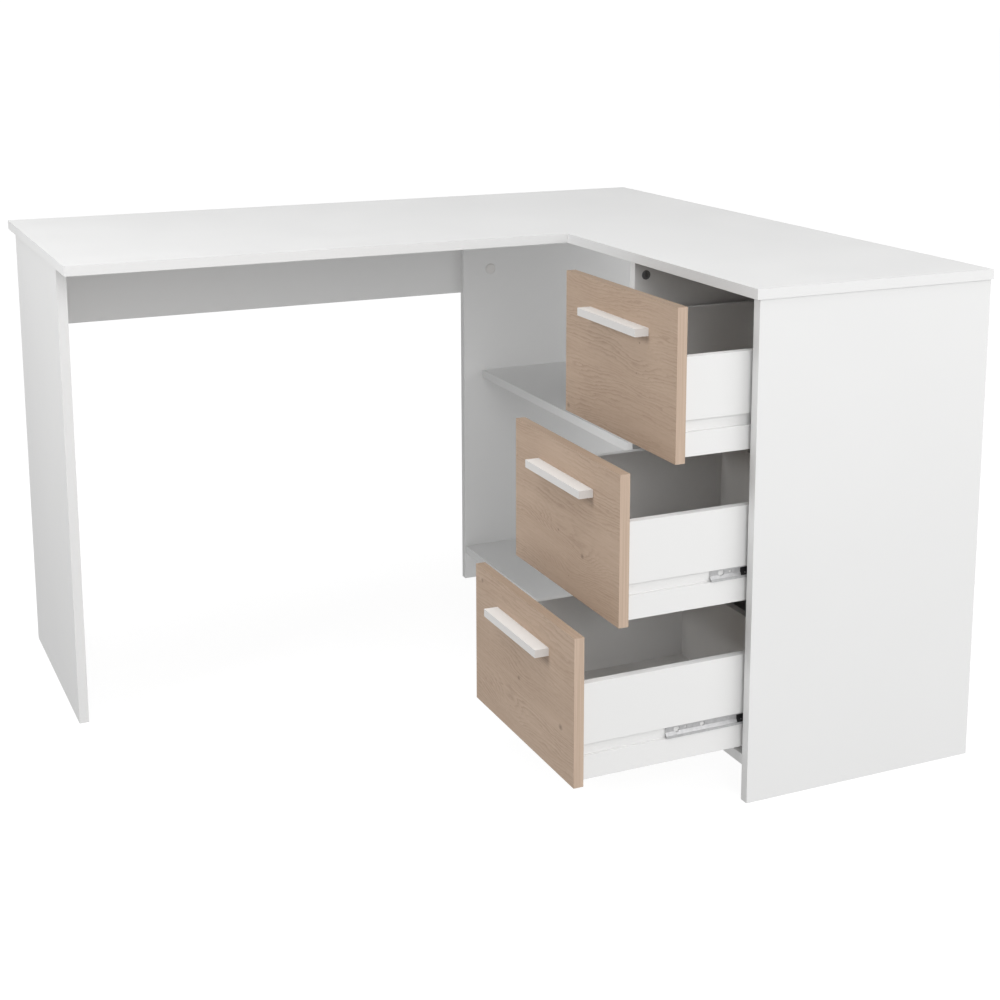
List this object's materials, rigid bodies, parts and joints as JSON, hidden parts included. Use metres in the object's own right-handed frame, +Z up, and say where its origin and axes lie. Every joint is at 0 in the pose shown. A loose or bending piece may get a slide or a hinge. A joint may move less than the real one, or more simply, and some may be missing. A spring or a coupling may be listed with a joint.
{
  "type": "corner desk",
  "caption": "L-shaped corner desk with a leg panel, a side cabinet with open shelf bays, and inset drawers on ball-bearing slides, shown partly open.",
  "frame": {"origin": "on the floor, under the middle of the worktop's bounding box", "axes": "+X along the long arm towards the cabinet, +Y away from the user towards the wall, +Z up; the drawers open towards -X"},
  "size_m": [1.217, 1.136, 0.75],
  "materials": {
    "white_melamine": "smooth matt white melamine on chipboard",
    "drawer_white": "smooth white foil on chipboard",
    "oak_decor": "matt light oak decor, grain along the front's width",
    "white_hardboard": "thin painted hardboard",
    "white_plastic": "matt white",
    "zinc_steel": "bright zinc plating",
    "black_plastic": "black moulded"
  },
  "bodies": {
    "carcass": {"worktop_long_arm": "white_melamine", "worktop_short_arm": "white_melamine", "worktop_joining_plate_1": "zinc_steel", "worktop_joining_plate_2": "zinc_steel", "left_leg_panel": "white_melamine", "left_leg_panel_cam_lock_1": "zinc_steel", "left_leg_panel_cam_lock_2": "zinc_steel", "cabinet_end_panel": "white_melamine", "cabinet_end_panel_cam_lock_1": "zinc_steel", "cabinet_end_panel_cam_lock_2": "zinc_steel", "cabinet_divider_panel": "white_melamine", "cabinet_divider_panel_cam_lock_1": "zinc_steel", "cabinet_divider_panel_cam_lock_2": "zinc_steel", "cabinet_rear_panel": "white_melamine", "cabinet_rear_panel_cam_lock_1": "zinc_steel", "cabinet_rear_panel_cam_lock_2": "zinc_steel", "rear_rail": "white_melamine", "rail_screw_cap_1": "white_plastic", "rail_screw_cap_2": "white_plastic", "middle_shelf": "white_melamine", "shelf_bay_bottom": "white_melamine", "drawer_bay_bottom": "white_melamine", "drawer_bay_back": "white_hardboard", "upper_drawer_near_slide_cabinet_member": "zinc_steel", "upper_drawer_far_slide_cabinet_member": "zinc_steel", "middle_drawer_near_slide_cabinet_member": "zinc_steel", "middle_drawer_far_slide_cabinet_member": "zinc_steel", "lower_drawer_near_slide_cabinet_member": "zinc_steel", "lower_drawer_far_slide_cabinet_member": "zinc_steel"},
    "upper_drawer": {"upper_drawer_front": "oak_decor", "upper_drawer_near_side": "drawer_white", "upper_drawer_far_side": "drawer_white", "upper_drawer_back": "drawer_white", "upper_drawer_bottom": "white_hardboard", "upper_drawer_handle": "white_plastic", "upper_drawer_near_slide_drawer_member": "zinc_steel", "upper_drawer_far_slide_drawer_member": "zinc_steel"},
    "upper_drawer_ball_cages": {"upper_drawer_near_slide_ball_cage": "black_plastic", "upper_drawer_far_slide_ball_cage": "black_plastic"},
    "middle_drawer": {"middle_drawer_front": "oak_decor", "middle_drawer_near_side": "drawer_white", "middle_drawer_far_side": "drawer_white", "middle_drawer_back": "drawer_white", "middle_drawer_bottom": "white_hardboard", "middle_drawer_handle": "white_plastic", "middle_drawer_near_slide_drawer_member": "zinc_steel", "middle_drawer_far_slide_drawer_member": "zinc_steel"},
    "middle_drawer_ball_cages": {"middle_drawer_near_slide_ball_cage": "black_plastic", "middle_drawer_far_slide_ball_cage": "black_plastic"},
    "lower_drawer": {"lower_drawer_front": "oak_decor", "lower_drawer_near_side": "drawer_white", "lower_drawer_far_side": "drawer_white", "lower_drawer_back": "drawer_white", "lower_drawer_bottom": "white_hardboard", "lower_drawer_handle": "white_plastic", "lower_drawer_near_slide_drawer_member": "zinc_steel", "lower_drawer_far_slide_drawer_member": "zinc_steel"},
    "lower_drawer_ball_cages": {"lower_drawer_near_slide_ball_cage": "black_plastic", "lower_drawer_far_slide_ball_cage": "black_plastic"}
  },
  "joints": [
    {"name": "upper_drawer_slide", "type": "slide", "parent": "carcass", "child": "upper_drawer", "axis": [-1, 0, 0], "range_m": [-0.118, 0.157]},
    {"name": "upper_drawer_cage_roll", "type": "slide", "parent": "carcass", "child": "upper_drawer_ball_cages", "axis": [-1, 0, 0], "range_m": [-0.059, 0.0785]},
    {"name": "middle_drawer_slide", "type": "slide", "parent": "carcass", "child": "middle_drawer", "axis": [-1, 0, 0], "range_m": [-0.202, 0.073]},
    {"name": "middle_drawer_cage_roll", "type": "slide", "parent": "carcass", "child": "middle_drawer_ball_cages", "axis": [-1, 0, 0], "range_m": [-0.101, 0.0365]},
    {"name": "lower_drawer_slide", "type": "slide", "parent": "carcass", "child": "lower_drawer", "axis": [-1, 0, 0], "range_m": [-0.269, 0.006]},
    {"name": "lower_drawer_cage_roll", "type": "slide", "parent": "carcass", "child": "lower_drawer_ball_cages", "axis": [-1, 0, 0], "range_m": [-0.1345, 0.003]}
  ],
  "couplings": [
    {"joint": "upper_drawer_cage_roll", "follows": "upper_drawer_slide", "ratio": 0.5},
    {"joint": "middle_drawer_cage_roll", "follows": "middle_drawer_slide", "ratio": 0.5},
    {"joint": "lower_drawer_cage_roll", "follows": "lower_drawer_slide", "ratio": 0.5}
  ]
}
